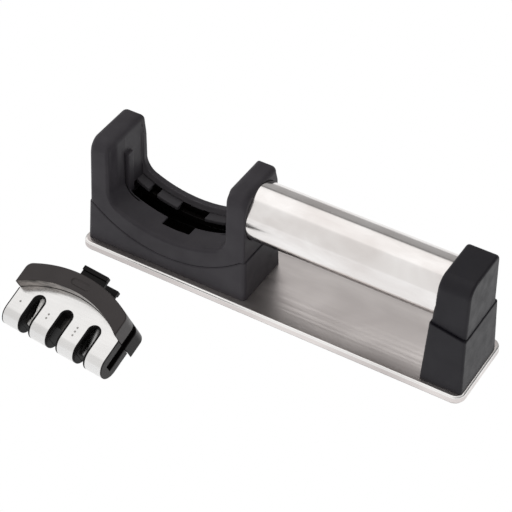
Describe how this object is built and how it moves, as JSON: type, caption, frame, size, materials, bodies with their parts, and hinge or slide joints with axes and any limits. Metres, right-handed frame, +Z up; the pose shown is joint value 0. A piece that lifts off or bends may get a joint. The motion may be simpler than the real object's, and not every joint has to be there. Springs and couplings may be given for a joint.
{
  "type": "pull-through knife sharpener",
  "caption": "Bench knife sharpener: steel tray, cradle housing, tubular handle and end post, with a removable slotted cartridge of ceramic, carbide and diamond stages lying beside it.",
  "frame": {"origin": "on the underside of the stand's rubber pad, halfway along the tray and below the handle's axis", "axes": "+X from the cradle to the end post, +Y to the back of the stand, +Z up; the cartridge lies in front, at -Y"},
  "size_m": [0.21, 0.1199, 0.0664],
  "materials": {
    "tray_steel": "fine straight brushing along the tray, soft satin reflections",
    "handle_steel": "satin tube brushed along its length",
    "face_steel": "light satin steel sheet bent over the nose",
    "housing_plastic": "charcoal soft-touch moulded plastic, very fine grain",
    "collar_plastic": "warm dark grey moulded plastic, semi-matt",
    "black_plastic": "black moulded plastic, slightly glossy",
    "pad_rubber": "black non-slip rubber",
    "zinc_steel": "zinc-plated steel screws, rod and nuts",
    "ceramic": "white sintered ceramic, smooth",
    "carbide": "ground tungsten carbide",
    "diamond_grit": "grey diamond-coated steel rod, fine grit"
  },
  "bodies": {
    "stand": {"base_tray": "tray_steel", "base_core": "black_plastic", "base_pad": "pad_rubber", "cradle_base": "housing_plastic", "cradle_yoke": "housing_plastic", "latch_plate": "housing_plastic", "post_base": "housing_plastic", "post_cap": "housing_plastic", "handle_tube": "handle_steel", "handle_plug_left": "black_plastic", "handle_plug_right": "black_plastic", "tie_rod": "zinc_steel", "tie_rod_nuts": "zinc_steel", "cradle_screws": "zinc_steel", "yoke_screws": "zinc_steel", "post_screws": "zinc_steel", "cap_screws": "zinc_steel"},
    "cartridge": {"cartridge_body": "black_plastic", "face_wrap": "face_steel", "collar": "collar_plastic", "snap_clip": "black_plastic", "ceramic_holder": "black_plastic", "tungsten_holder": "black_plastic", "diamond_holder": "black_plastic", "ceramic_rods": "ceramic", "tungsten_blades": "carbide", "diamond_rods": "diamond_grit", "cartridge_screws": "zinc_steel"}
  },
  "joints": [
    {"name": "cartridge_lift", "type": "slide", "parent": "stand", "child": "cartridge", "axis": [0, 0, 1], "range_m": [0, 0.12]}
  ]
}
